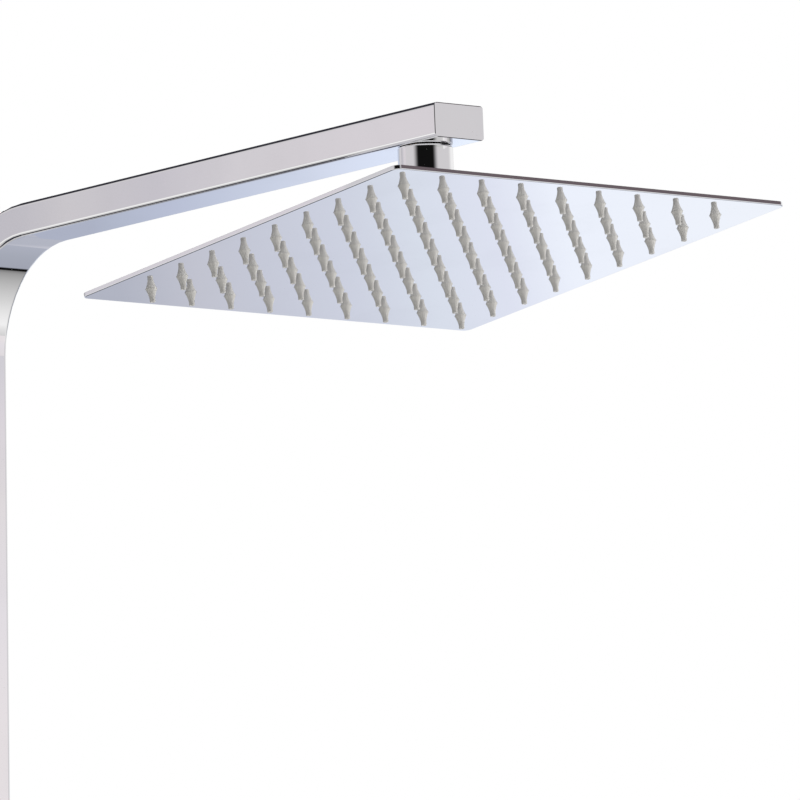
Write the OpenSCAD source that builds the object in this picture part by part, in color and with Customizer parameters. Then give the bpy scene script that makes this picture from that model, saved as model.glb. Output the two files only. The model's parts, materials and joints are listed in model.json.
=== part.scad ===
// Rainfall shower column: a flat tube bent over into an arm, a thin square rain head on a
// ball joint, a diverter at the foot, a sliding hand shower holder and two wall fixings.
// The origin is the centre of the lower fixing on the wall. +Z is up, -Y points out of the
// wall and +X is to the right for a person who faces the wall.

/* [Column tube] */
// Height of the ball joint's centre above the lower wall fixing
ball_z = 952; // [880:1:1060]
// Distance from the wall to the ball joint's centre
reach = 424.6; // [380:0.1:460]
// Length of arm beyond the swivel's axis
overhang = 27.1; // [26:0.1:36]
// Rise of the arm above the level, in degrees
arm_rise = 2.4; // [0:0.1:6]
// Width of the flat tube
tube_w = 31.6; // [30:0.1:34]
// Thickness of the flat tube
tube_t = 17.5; // [17:0.5:20]
// Wall of the tube
tube_wall = 1.2; // [1:0.1:1.4]
// Radius of the tube's long edges
tube_edge = 2.2; // [1.2:0.1:2.2]
// Inside radius of the bend
bend_r = 55; // [40:1:80]
// Gap between the wall and the back of the riser
wall_gap = 45; // [44:1:60]

/* [Rain head] */
// Side of the square head
head_size = 250; // [220:1:300]
// Radius of the head's corners
head_corner = 4; // [1.5:0.5:6]
// Thickness of the head at its edge
head_edge = 2.2; // [2.2:0.1:3]
// Thickness of each steel sheet of the head
sheet = 0.5; // [0.4:0.1:0.6]
// Nozzles along one side
nozzle_rows = 9; // [7:1:10]
// Distance between neighbouring nozzles
nozzle_pitch = 25; // [20:0.5:25]
// Radius of a nozzle at its root
nozzle_r = 3; // [2.5:0.1:3.5]
// Radius of a nozzle at its tip
nozzle_tip_r = 1.45; // [1.2:0.05:1.8]
// Length of a nozzle below the head's face
nozzle_len = 6.8; // [4:0.2:8]
// Lean of the head on its ball joint, in degrees
lean = 6.25; // [0:0.05:14]

/* [Ball joint] */
// Radius of the ball
ball_r = 10; // [10:0.1:10.2]
// Outer radius of the nut round the ball
nut_r = 13.5; // [13.3:0.1:14.5]
// Outer radius of the connector between the ball and the arm
connector_r = 13.8; // [13:0.1:15]
// Height of the ball's centre above the head's face
ball_h = 24; // [24:0.5:30]
// Distance from the ball's centre up to the arm's underside
neck_h = 29.5; // [29.5:0.5:36]

/* [Diverter] */
// Width of the diverter's body
valve_w = 48; // [46:1:60]
// Depth of the diverter's body
valve_d = 34; // [34:1:44]
// Height of the body above the knob's axis
valve_up = 32; // [32:1:40]
// Height of the body below the knob's axis
valve_down = 38; // [38:1:50]
// Radius of the diverter's knob
knob_r = 19; // [17:0.5:24]
// Length of the diverter's knob
knob_len = 24; // [22:1:32]
// Radius over the thread of a half inch pipe connection
pipe_r = 10.48; // [10.3:0.01:10.6]

/* [Hand shower holder] */
// Height of the slider's centre
slider_h = 330; // [200:1:450]
// Height of the slider
slider_len = 42; // [38:1:50]
// Radius of the cradle's socket
socket_r = 11.5; // [10:0.1:12]
// Height of the cradle's socket
socket_len = 26; // [22:1:32]

/* [Wall fixings] */
// Height of the upper fixing above the lower one
upper_h = 600; // [560:1:680]
// Side of a fixing's square cover
cover_size = 56; // [54:1:64]
// Distance between a fixing's two screw holes
screw_spacing = 36; // [34:0.5:38]
// Radius of a screw hole
screw_hole_r = 2.75; // [2.2:0.05:3]
// Radius of a fixing's stem
stem_r = 8; // [7:0.5:9]

/* [Hidden] */
$fn = 64;
eps = 0.05;
running = 0.05;
riser_y = -(wall_gap + tube_t / 2);
riser_front = -(wall_gap + tube_t);
bend_y = riser_front - bend_r;
bend_z = ball_z + (neck_h - bend_r - (bend_y + reach) * sin(arm_rise)) / cos(arm_rise);
// Length of straight arm on the wall side of the swivel's axis
arm_in = (bend_y + reach) * cos(arm_rise) - (bend_z - ball_z) * sin(arm_rise);
arm_mid = neck_h + tube_t / 2;
bore_w = tube_w - 2 * tube_wall;
bore_t = tube_t - 2 * tube_wall;

cap_t = 2.5;
cap_edge = 0.5;
cap_plug = 6;
plug_gap = 0.1;

insert_len = 30;
insert_roof = 1.5;
thread_h = 9;
screw_in_r = pipe_r + running;
passage_w = 14;
passage_h = 3;
nipple_drop = 10;
nipple_bore = 7;
nipple_low = neck_h - nipple_drop;
seal_h = 1.6;
restrictor_h = 2.4;
socket_floor = nipple_low - seal_h - restrictor_h;
connector_low = socket_floor - 2.5;
connector_gap = 0.2;
edge_round = 1;
neck_r = 6;
water_r = 4;
ball_cut = 8;

seat_r = ball_r + running;
seat_out = ball_r + 1;
cup_r = ball_r + 1.4;
seat_low = 2.4;
seat_high = 6.1;
nut_top = 8.8;
lip_r = 8.8;
nut_bore = cup_r + running;
cup_top = -1;
cup_low = -7.5;
ring_t = 1;
hub_r = 23;
hub_top_r = 18;
hub_h = 5;
hub_hole_r = 7;
flange_t = 3;
flange_low = head_edge + hub_h - ball_h;
nut_low = flange_low + flange_t + 0.3;
root_gap = 0.05;
mat_t = 0.7;
mat_margin = 5;
nozzle_hole_r = 0.55;
nozzle_tip_len = 2;
stud_r = 2;
stud_gap = head_edge - 2 * sheet - mat_t;

foot_h = valve_up;
foot_plug = 22;
foot_screws = [6, 16];
foot_rings = [-12, -7];
ring_groove = 2.4;
spigot_r = 8.5;
spigot_len = 15;
o_ring_r = 0.6;
spool_r = 13;
spool_depth = 24.5;
spool_end = riser_y - valve_d / 2 + spool_depth;
spool_grooves = [1.2, 14.2];
spool_groove = 1.8;
valve_front = riser_y - valve_d / 2;
valve_back = riser_y + valve_d / 2;
nipple_len = 13;
nipple_in = 9;
nipple_seat_r = 9.4;
port_r = 5;
knob_gap = 1;
knob_bar_w = 9;
knob_lever = 8;
knob_socket = 14.2;
knob_screw_y = valve_front - knob_gap - 8;
cap_r = 3.2;
cap_depth = 2;
spindle_r = 4;
spindle_in = 9;
cap_nut_len = 6;
grub_r = 2.5;

slide_gap = 0.25;
liner_t = 1;
slider_wall = 6;
slider_w = tube_w + 2 * (slide_gap + liner_t + slider_wall);
slider_d = tube_t + 2 * (slide_gap + liner_t + slider_wall - 1);
ear_t = 5;
ear_in = 9;
ear_reach = 15;
ear_r = 9;
pivot_r = 3;
pivot_y = riser_y - slider_d / 2 - 8;
washer_t = 0.6;
cradle_y = pivot_y - 33;
cradle_wall = 3;
slot_w = 15;
clamp_r = 14;
clamp_len = 17;
clamp_screw_r = 3;
clamp_x = slider_w / 2;

plate_t = 3;
plate_size = cover_size - 6;
boss_r = 12;
boss_len = 18;
cover_t = 1.2;
cover_d = 10;
clip_wall = 5;
clip_h = 24;

// Helpers

// A rectangle with round corners
module rounded_rect(w, h, r) {
    square([w, h - 2 * r], center = true);
    square([w - 2 * r, h], center = true);
    for (x = [-1, 1], y = [-1, 1])
        translate([x * (w / 2 - r), y * (h / 2 - r)]) circle(r);
}

// The tube's hollow section, wide along X
module tube_section() {
    difference() {
        rounded_rect(tube_w, tube_t, tube_edge);
        square([bore_w, bore_t], center = true);
    }
}

// A plug for the tube's bore, along +Z
module plug(len) {
    linear_extrude(len)
        square([bore_w - 2 * plug_gap, bore_t - 2 * plug_gap], center = true);
}

// A cylinder along -Y from the plane y = 0
module out_rod(r, len) {
    rotate([90, 0, 0]) cylinder(r = r, h = len);
}

// A round tube along +Z
module pipe(r, bore, h) {
    difference() {
        cylinder(r = r, h = h);
        translate([0, 0, -1]) cylinder(r = bore, h = h + 2);
    }
}

// A cylinder along +Z whose top edge is rounded
module round_topped(r, h, edge) {
    rotate_extrude() {
        square([r, h - edge]);
        square([r - edge, h]);
        translate([r - edge, h - edge]) circle(edge);
    }
}

// A socket head grub screw along +Z with its socket at the top
module grub(r, len) {
    difference() {
        cylinder(r = r, h = len);
        translate([0, 0, len - 1.8]) cylinder(r = r * 0.5, h = 2, $fn = 6);
    }
}

// Moves its children from the arm's frame, which has the ball's centre at its origin, -Y out
// along the arm and +Z square to the arm
module at_swivel() {
    translate([0, -reach, ball_z]) rotate([-arm_rise, 0, 0]) children();
}

// Moves its children from the head's frame, which has the ball at its origin, and leans them
module at_head() {
    at_swivel() rotate([-lean, 0, 0]) children();
}

// Moves its children from the head's face to the ball's frame
module from_face() {
    translate([0, 0, -ball_h]) children();
}

// Puts its children at every place of the nozzle grid
module nozzle_grid() {
    first = -(nozzle_rows - 1) / 2;
    for (i = [0 : nozzle_rows - 1], j = [0 : nozzle_rows - 1])
        translate([(first + i) * nozzle_pitch, (first + j) * nozzle_pitch, 0]) children();
}

// Column and arm

module bent_tube() {
    color("silver") difference() {
        union() {
            translate([0, riser_y, foot_h]) linear_extrude(bend_z - foot_h) tube_section();
            translate([0, bend_y, bend_z]) {
                rotate([90, 0, 90]) rotate_extrude(angle = 90 - arm_rise)
                    translate([bend_r + tube_t / 2, 0]) rotate([0, 0, 90]) tube_section();
                rotate([-arm_rise, 0, 0]) translate([0, 0, bend_r + tube_t / 2])
                    rotate([90, 0, 0]) linear_extrude(arm_in + overhang - cap_t) tube_section();
            }
        }
        at_swivel() translate([0, 0, neck_h - 1])
            cylinder(r = screw_in_r + 0.1, h = tube_wall + 2);
        for (z = foot_screws) translate([0, -wall_gap + 1, foot_h + z])
            out_rod(grub_r + eps, tube_wall + 2);
    }
}

module arm_end_cap() {
    color("silver") at_swivel() translate([0, -overhang, arm_mid]) {
        intersection() {
            translate([0, cap_t, 0]) rotate([90, 0, 0]) linear_extrude(cap_t)
                rounded_rect(tube_w, tube_t, tube_edge);
            translate([0, 2 * cap_t, -tube_t]) linear_extrude(2 * tube_t)
                rounded_rect(tube_w, 4 * cap_t, cap_edge);
            translate([-tube_w, 2 * cap_t, 0]) rotate([0, 90, 0]) linear_extrude(2 * tube_w)
                rounded_rect(tube_t, 4 * cap_t, cap_edge);
        }
        translate([0, cap_t - 0.5 + cap_plug, 0]) rotate([90, 0, 0]) plug(cap_plug);
    }
}

// Brass block inside the arm that takes the nipple from below
module arm_insert() {
    h = bore_t - 2 * plug_gap;
    color("goldenrod") at_swivel() translate([0, 0, neck_h + tube_wall + plug_gap]) difference() {
        translate([0, insert_len / 2, h / 2]) rotate([90, 0, 0]) plug(insert_len);
        translate([0, 0, -1]) cylinder(r = screw_in_r, h = thread_h + 1);
        translate([0, 0, thread_h - 1])
            cylinder(r = passage_w / 2, h = h - insert_roof - thread_h + 1);
        translate([-passage_w / 2, 0, h - insert_roof - passage_h])
            cube([passage_w, insert_len, passage_h]);
    }
}

// Half inch nipple that hangs from the arm inside the connector
module arm_nipple() {
    color("goldenrod") at_swivel() translate([0, 0, nipple_low])
        pipe(pipe_r, nipple_bore, nipple_drop + tube_wall + thread_h - 1);
}

// Ball on a hollow neck under a round connector that screws up on to the nipple
module ball_connector() {
    top = neck_h - connector_gap;
    color("silver") at_swivel() difference() {
        union() {
            difference() {
                sphere(ball_r);
                translate([0, 0, -ball_r - ball_cut]) cylinder(r = ball_r, h = ball_r);
            }
            cylinder(r = neck_r, h = connector_low + 1);
            translate([0, 0, connector_low])
                round_topped(connector_r, top - connector_low, edge_round);
        }
        translate([0, 0, -ball_r]) cylinder(r = water_r, h = neck_h + ball_r);
        translate([0, 0, socket_floor]) cylinder(r = screw_in_r, h = neck_h);
    }
}

module inlet_washer() {
    color("dimgray") at_swivel() translate([0, 0, nipple_low - seal_h + eps])
        pipe(pipe_r - 0.3, nipple_bore, seal_h - 2 * eps);
}

// Woven screen inside the washer
module filter_screen() {
    color("lightgray") at_swivel() translate([0, 0, nipple_low - seal_h + 0.5])
        cylinder(r = nipple_bore - eps, h = 0.6);
}

module flow_restrictor() {
    color("orange") at_swivel() translate([0, 0, socket_floor]) difference() {
        cylinder(r = pipe_r - 0.6, h = restrictor_h);
        for (a = [0 : 60 : 300]) rotate([0, 0, a]) translate([water_r - 1.2, 0, -1])
            cylinder(r = 0.8, h = restrictor_h + 2);
    }
}

// Plastic seat over the ball's upper half: it turns about the swivel's axis with the head
module upper_ball_seat() {
    color("ivory") at_swivel() difference() {
        sphere(seat_out);
        sphere(seat_r);
        translate([0, 0, seat_low - 2 * ball_r]) cylinder(r = 2 * ball_r, h = 2 * ball_r);
        translate([0, 0, seat_high]) cylinder(r = 2 * ball_r, h = ball_r);
    }
}

// Plastic cup under the ball: it tilts with the head while the head can turn around it
module lower_ball_seat() {
    color("ivory") at_head() difference() {
        translate([0, 0, cup_low]) cylinder(r = cup_r, h = cup_top - cup_low);
        sphere(seat_r);
    }
}

module seat_seal() {
    color("dimgray") at_head() translate([0, 0, cup_low - ring_t])
        pipe(cup_r - 0.4, hub_hole_r + 0.3, ring_t - eps);
}

// Rain head

module socket_nut() {
    color("silver") at_head() difference() {
        translate([0, 0, nut_low]) round_topped(nut_r, nut_top - nut_low, edge_round);
        sphere(seat_out + running);
        translate([0, 0, nut_low - 1]) cylinder(r = nut_bore, h = -nut_low + 1);
        cylinder(r = lip_r, h = nut_top + 1);
    }
}

// Turned flange on the back of the head, with the thread that the nut screws on to
module head_neck() {
    neck_len = cup_low - ring_t - flange_low;
    color("silver") at_head() translate([0, 0, flange_low]) difference() {
        union() {
            cylinder(r = hub_top_r - 1, h = flange_t);
            cylinder(r = cup_r, h = neck_len);
        }
        translate([0, 0, -1]) cylinder(r = hub_hole_r, h = neck_len + 2);
    }
}

// Back sheet with a pressed hub under the neck
module back_plate() {
    side = head_size - 2 * sheet - 0.2;
    color("silver") at_head() from_face() {
        translate([0, 0, head_edge - sheet]) linear_extrude(sheet) difference() {
            rounded_rect(side, side, head_corner - sheet);
            circle(hub_r);
        }
        translate([0, 0, head_edge - sheet]) rotate_extrude() polygon([
            [hub_r, 0], [hub_r, sheet], [hub_top_r, sheet + hub_h], [hub_hole_r, sheet + hub_h],
            [hub_hole_r, hub_h], [hub_top_r - sheet, hub_h], [hub_r - sheet, 0]]);
    }
}

// Face sheet with a folded rim and a hole for every nozzle
module face_plate() {
    side = head_size - 2 * sheet;
    color("lavender") at_head() from_face() difference() {
        linear_extrude(head_edge) rounded_rect(head_size, head_size, head_corner);
        translate([0, 0, sheet]) linear_extrude(head_edge)
            rounded_rect(side, side, head_corner - sheet);
        nozzle_grid() translate([0, 0, -1]) cylinder(r = nozzle_r + root_gap, h = sheet + 2);
    }
}

// Silicone mat inside the head with one nozzle through every hole of the face
module nozzle_mat() {
    side = (nozzle_rows - 1) * nozzle_pitch + 2 * (nozzle_r + mat_margin);
    cone = nozzle_len - nozzle_tip_len;
    color("darkgray") at_head() from_face() difference() {
        union() {
            translate([-side / 2, -side / 2, sheet]) cube([side, side, mat_t]);
            nozzle_grid() rotate_extrude() polygon([[0, sheet + mat_t / 2],
                [nozzle_r, sheet + mat_t / 2], [nozzle_r, 0], [nozzle_tip_r, -cone],
                [nozzle_tip_r, -nozzle_len], [0, -nozzle_len]]);
        }
        nozzle_grid() translate([0, 0, -nozzle_len - 1])
            cylinder(r = nozzle_hole_r, h = nozzle_len + 3);
    }
}

// Small welded studs that hold the back sheet off the mat
module spacer_studs() {
    step = 2 * nozzle_pitch;
    color("silver") at_head() from_face() for (i = [-2 : 1], j = [-2 : 1])
        translate([(i + 0.5) * step, (j + 0.5) * step, sheet + mat_t])
            cylinder(r = stud_r, h = stud_gap);
}

// Foot of the riser and the diverter

// Brass plug in the riser's lower end with a round spigot below it
module riser_foot() {
    color("goldenrod") translate([0, riser_y, foot_h]) difference() {
        union() {
            plug(foot_plug);
            translate([0, 0, -spigot_len]) cylinder(r = spigot_r, h = spigot_len);
        }
        translate([0, 0, -spigot_len - 1]) cylinder(r = port_r, h = foot_plug + spigot_len + 2);
        for (z = foot_rings) translate([0, 0, z])
            pipe(spigot_r + 1, spigot_r - 2 * o_ring_r, ring_groove);
    }
}

module foot_o_rings() {
    color("dimgray") for (z = foot_rings)
        translate([0, riser_y, foot_h + z + ring_groove / 2])
        rotate_extrude() translate([spigot_r - o_ring_r, 0]) circle(o_ring_r);
}

module foot_grub_screws() {
    depth = 2;
    color("gray") for (z = foot_screws)
        translate([0, -wall_gap - tube_wall - plug_gap, foot_h + z]) rotate([-90, 0, 0])
            grub(grub_r, tube_wall + plug_gap + depth);
}

module diverter_body() {
    color("silver") difference() {
        translate([0, riser_y, -valve_down]) linear_extrude(valve_down + valve_up)
            rounded_rect(valve_w, valve_d, 2);
        translate([0, riser_y, valve_up - spigot_len - 1])
            cylinder(r = spigot_r + eps, h = spigot_len + 2);
        translate([0, riser_y, 0]) cylinder(r = port_r, h = valve_up);
        translate([0, spool_end, 0]) out_rod(spool_r + eps, spool_depth + 1);
        translate([0, riser_y, -valve_down - 1]) cylinder(r = nipple_seat_r + eps, h = nipple_in + 1);
        translate([0, riser_y, -valve_down]) cylinder(r = port_r, h = valve_down);
        translate([valve_w / 2 - nipple_in, riser_y, 0]) rotate([0, 90, 0])
            cylinder(r = nipple_seat_r + eps, h = nipple_in + 1);
        translate([0, riser_y, 0]) rotate([0, 90, 0]) cylinder(r = port_r, h = valve_w / 2);
        translate([0, valve_back + 1, 0]) out_rod(spindle_r + eps, 8);
    }
}

// Ceramic cartridge with three ports: in from below, out to the top and out to the hose
module diverter_cartridge() {
    color("white") difference() {
        translate([0, spool_end - 0.5, 0]) out_rod(spool_r, spool_depth - cap_nut_len - 1);
        translate([0, riser_y, -spool_r]) cylinder(r = port_r - 1, h = 2 * spool_r);
        translate([0, riser_y, 0]) rotate([0, 90, 0]) cylinder(r = port_r - 1, h = spool_r + 1);
        translate([0, spool_end - spindle_in, 0]) out_rod(spindle_r + running, spool_depth);
        for (y = spool_grooves) translate([0, spool_end - y, 0]) rotate([90, 0, 0])
            pipe(spool_r + 1, spool_r - 2 * o_ring_r, spool_groove);
    }
}

module cartridge_seals() {
    color("dimgray") for (y = spool_grooves) translate([0, spool_end - y - spool_groove / 2, 0])
        rotate([90, 0, 0]) rotate_extrude() translate([spool_r - o_ring_r, 0]) circle(o_ring_r);
}

// Ring nut that holds the cartridge in the body
module cartridge_nut() {
    color("goldenrod") translate([0, valve_front + cap_nut_len, 0]) rotate([90, 0, 0])
        pipe(spool_r - eps, spindle_r + 0.4, cap_nut_len);
}

// A hollow half inch nipple along -Z with its shoulder at z = 0
module nipple() {
    difference() {
        union() {
            translate([0, 0, -nipple_len]) cylinder(r = pipe_r, h = nipple_len);
            cylinder(r = nipple_seat_r, h = nipple_in - 0.5);
        }
        translate([0, 0, -nipple_len - 1]) cylinder(r = nipple_bore, h = nipple_len + nipple_in + 2);
    }
}

module hose_outlet_nipple() {
    color("silver") translate([valve_w / 2, riser_y, 0]) rotate([0, -90, 0]) nipple();
}

module inlet_nipple() {
    color("silver") translate([0, riser_y, -valve_down]) nipple();
}

// Non-return valve in the hose outlet
module check_valve() {
    color("royalblue") translate([valve_w / 2 - 6, riser_y, 0]) rotate([0, 90, 0]) {
        pipe(nipple_bore - eps, nipple_bore - 2, 11);
        translate([0, 0, 3]) cylinder(r1 = 1.5, r2 = 4.2, h = 4);
        for (a = [0, 90]) rotate([0, 0, a]) translate([-nipple_bore + 1, -0.6, 7])
            cube([2 * nipple_bore - 2, 1.2, 1.5]);
    }
}

// Strainer washer in the mouth of the inlet
module inlet_strainer() {
    color("lightgray") translate([0, riser_y, -valve_down - nipple_len + 2]) {
        cylinder(r = nipple_bore - eps, h = 0.6);
        pipe(nipple_bore - eps, nipple_bore - 1.2, 3);
    }
}

// Diverter knob

module diverter_spindle() {
    front = valve_front - knob_gap - knob_socket + 0.5;
    color("goldenrod") translate([0, spool_end - spindle_in - 0.5, 0])
        out_rod(spindle_r, spool_end - spindle_in - 0.5 - front);
}

// Square-edged knob with a lever bar across its front
module diverter_knob() {
    color("silver") translate([0, valve_front - knob_gap, 0]) difference() {
        union() {
            out_rod(knob_r, knob_len * 0.6);
            translate([-knob_bar_w / 2, -knob_len, -knob_r + 1])
                cube([knob_bar_w, knob_len, 2 * knob_r + knob_lever]);
        }
        translate([0, 1, 0]) out_rod(spindle_r + eps, knob_socket + 1);
        translate([0, -knob_len + cap_depth, 0]) out_rod(cap_r, 2 * cap_depth);
        translate([0, knob_screw_y - valve_front + knob_gap, 0]) rotate([180, 0, 0])
            cylinder(r = grub_r + eps, h = knob_r + 1);
    }
}

module knob_screw() {
    color("gray") translate([0, knob_screw_y, 0]) rotate([180, 0, 0])
        translate([0, 0, spindle_r + eps]) grub(grub_r, 7);
}

module index_cap() {
    color("white") translate([0, valve_front - knob_gap - knob_len + cap_depth - eps, 0])
        out_rod(cap_r - eps, cap_depth);
}

// Hand shower holder on the riser

module slider_body() {
    win_w = tube_w + 2 * (slide_gap + liner_t);
    win_t = tube_t + 2 * (slide_gap + liner_t);
    color("silver") difference() {
        union() {
            translate([0, riser_y, slider_h - slider_len / 2]) linear_extrude(slider_len)
                rounded_rect(slider_w, slider_d, 2);
            for (s = [-1, 1]) translate([s * (ear_in + ear_t / 2), 0, slider_h])
                rotate([0, 90, 0]) translate([0, 0, -ear_t / 2]) {
                    translate([0, pivot_y, 0]) cylinder(r = ear_r, h = ear_t);
                    translate([-ear_r, pivot_y, 0]) cube([2 * ear_r, ear_reach - 5, ear_t]);
                }
        }
        translate([0, riser_y, slider_h - slider_len / 2 - 1]) linear_extrude(slider_len + 2)
            square([win_w, win_t], center = true);
        translate([-slider_w, pivot_y, slider_h]) rotate([0, 90, 0])
            cylinder(r = pivot_r + running, h = 2 * slider_w);
        translate([0, riser_y, slider_h]) rotate([0, 90, 0])
            cylinder(r = clamp_screw_r + running, h = slider_w);
    }
}

module slider_liner() {
    color("white") translate([0, riser_y, slider_h]) difference() {
        translate([0, 0, -slider_len / 2 + 1]) linear_extrude(slider_len - 2)
            square([tube_w + 2 * (slide_gap + liner_t) - 0.1, tube_t + 2 * (slide_gap + liner_t) - 0.1],
                center = true);
        translate([0, 0, -slider_len]) linear_extrude(2 * slider_len)
            square([tube_w + 2 * slide_gap, tube_t + 2 * slide_gap], center = true);
        rotate([0, 90, 0]) cylinder(r = 5.1, h = slider_w);
    }
}

// Round pad that the clamp screw presses on the riser
module clamp_pad() {
    color("white") translate([tube_w / 2 + slide_gap, riser_y, slider_h]) rotate([0, 90, 0])
        cylinder(r = 5, h = liner_t);
}

module clamp_screw() {
    color("gray") translate([tube_w / 2 + slide_gap + liner_t + 0.1, riser_y, slider_h])
        rotate([0, 90, 0]) cylinder(r = clamp_screw_r, h = slider_wall + 11);
}

// Fluted knob on the clamp screw
module clamp_knob() {
    flutes = 18;
    color("silver") translate([clamp_x + 0.6, riser_y, slider_h]) rotate([0, 90, 0])
        difference() {
            cylinder(r = clamp_r, h = clamp_len);
            translate([0, 0, -1]) cylinder(r = clamp_screw_r + eps, h = 12);
            translate([0, 0, clamp_len - 1.2]) cylinder(r = clamp_r - 4, h = 2);
            for (k = [0 : flutes - 1]) rotate([0, 0, k * 360 / flutes])
                translate([clamp_r + 0.8, 0, 3]) cylinder(r = 1.5, h = clamp_len);
        }
}

module clamp_knob_cap() {
    color("silver") translate([clamp_x + 0.6 + clamp_len - 1.2, riser_y, slider_h])
        rotate([0, 90, 0]) cylinder(r = clamp_r - 4.05, h = 1.1);
}

module cradle_pivot_bolt() {
    half = ear_in + ear_t;
    color("gray") translate([-half - 3.2, pivot_y, slider_h]) rotate([0, 90, 0])
        difference() {
            union() {
                cylinder(r = 5.5, h = 3.2);
                cylinder(r = pivot_r, h = 2 * half + 7.2);
            }
            translate([0, 0, -1]) cylinder(r = 2, h = 3, $fn = 6);
        }
}

module pivot_nut() {
    color("gray") translate([ear_in + ear_t, pivot_y, slider_h]) rotate([0, 90, 0])
        difference() {
            cylinder(r = 5.8, h = 3.6, $fn = 6);
            translate([0, 0, -1]) cylinder(r = pivot_r + eps, h = 6);
        }
}

module friction_washers() {
    color("white") for (x = [-ear_in, ear_in - washer_t]) translate([x, pivot_y, slider_h])
        rotate([0, 90, 0]) pipe(7.5, pivot_r + running, washer_t);
}

// Slotted cup for the hand shower on a tongue that turns between the slider's ears
module handset_cradle() {
    tongue = ear_in - washer_t - 0.05;
    out_r = socket_r + cradle_wall;
    color("silver") translate([0, 0, slider_h]) difference() {
        union() {
            translate([-tongue, pivot_y, 0]) rotate([0, 90, 0]) cylinder(r = 7.5, h = 2 * tongue);
            translate([-tongue, cradle_y, -7.5]) cube([2 * tongue, pivot_y - cradle_y, 15]);
            translate([0, cradle_y, -socket_len / 2]) cylinder(r = out_r, h = socket_len);
        }
        translate([0, cradle_y, -socket_len]) cylinder(r = socket_r, h = 2 * socket_len);
        translate([-slot_w / 2, cradle_y - 2 * out_r, -socket_len])
            cube([slot_w, 2 * out_r, 2 * socket_len]);
        translate([-2 * tongue, pivot_y, 0]) rotate([0, 90, 0])
            cylinder(r = pivot_r + running, h = 4 * tongue);
    }
}

// Wall fixings

// Screw plate against the wall with a boss for the stem
module wall_plate() {
    difference() {
        union() {
            rotate([90, 0, 0]) linear_extrude(plate_t)
                rounded_rect(plate_size, plate_size, 3);
            out_rod(boss_r, boss_len);
        }
        for (x = [-1, 1]) translate([x * screw_spacing / 2, 1, 0])
            out_rod(screw_hole_r, plate_t + 2);
        translate([0, -plate_t, 0]) out_rod(stem_r + eps, boss_len);
        translate([0, -boss_len + 5, 0]) rotate([180, 0, 0])
            cylinder(r = grub_r + eps, h = boss_r + 1);
    }
}

// Square cover over the plate's screws
module wall_cover() {
    difference() {
        rotate([90, 0, 0]) linear_extrude(cover_d) rounded_rect(cover_size, cover_size, 3);
        translate([0, 1, 0]) rotate([90, 0, 0]) linear_extrude(cover_d - cover_t + 1)
            rounded_rect(cover_size - 2 * cover_t, cover_size - 2 * cover_t, 3 - cover_t);
        out_rod(boss_r + 0.2, cover_d + 1);
    }
}

module wall_grub() {
    translate([0, -boss_len + 5, -stem_r - eps]) rotate([180, 0, 0]) grub(grub_r, 4);
}

// Clip around the riser with a boss that takes the upper stem
module riser_clip() {
    color("silver") translate([0, 0, upper_h]) difference() {
        union() {
            translate([0, riser_y, -clip_h / 2]) linear_extrude(clip_h)
                rounded_rect(tube_w + 2 * clip_wall, tube_t + 2 * clip_wall, 2);
            translate([0, -wall_gap + clip_wall + 8, 0]) out_rod(stem_r + 3, 10);
        }
        translate([0, riser_y, -clip_h]) linear_extrude(2 * clip_h)
            square([tube_w + 0.2, tube_t + 0.2], center = true);
        translate([0, -wall_gap + clip_wall + 9, 0]) out_rod(stem_r + eps, 11);
        translate([tube_w / 2 - 1, riser_y, 0]) rotate([0, 90, 0])
            cylinder(r = grub_r + eps, h = clip_wall + 3);
    }
}

module clip_screw() {
    color("gray") translate([tube_w / 2 + 0.05, riser_y, upper_h]) rotate([0, 90, 0])
        grub(grub_r, clip_wall - 0.5);
}

module upper_stem() {
    color("silver") translate([0, -plate_t - 0.1, upper_h])
        out_rod(stem_r, wall_gap - plate_t - 3.2);
}

// Stem with a threaded end in the diverter's back
module lower_stem() {
    len = -valve_back - plate_t - 0.1;
    color("silver") translate([0, -plate_t - 0.1, 0]) {
        out_rod(stem_r, len);
        out_rod(spindle_r, len + 6.5);
    }
}

module upper_wall_plate() {
    color("gray") translate([0, 0, upper_h]) wall_plate();
}

module upper_wall_cover() {
    color("silver") translate([0, 0, upper_h]) wall_cover();
}

module upper_grub_screw() {
    color("gray") translate([0, 0, upper_h]) wall_grub();
}

module lower_wall_plate() {
    color("gray") wall_plate();
}

module lower_wall_cover() {
    color("silver") wall_cover();
}

module lower_grub_screw() {
    color("gray") wall_grub();
}

bent_tube();
arm_end_cap();
arm_insert();
arm_nipple();
ball_connector();
inlet_washer();
filter_screen();
flow_restrictor();
upper_ball_seat();
lower_ball_seat();
seat_seal();
socket_nut();
head_neck();
back_plate();
face_plate();
nozzle_mat();
spacer_studs();
riser_foot();
foot_o_rings();
foot_grub_screws();
diverter_body();
diverter_cartridge();
cartridge_seals();
cartridge_nut();
hose_outlet_nipple();
inlet_nipple();
check_valve();
inlet_strainer();
diverter_spindle();
diverter_knob();
knob_screw();
index_cap();
slider_body();
slider_liner();
clamp_pad();
clamp_screw();
clamp_knob();
clamp_knob_cap();
cradle_pivot_bolt();
pivot_nut();
friction_washers();
handset_cradle();
riser_clip();
clip_screw();
upper_stem();
upper_wall_plate();
upper_wall_cover();
upper_grub_screw();
lower_stem();
lower_wall_plate();
lower_wall_cover();
lower_grub_screw();
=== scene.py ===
"""Looks of a rainfall shower column: studio, camera, materials and detailed pieces round its CAD frame."""
import json
import math

import bmesh
import bpy
from mathutils import Matrix, Vector


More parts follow.
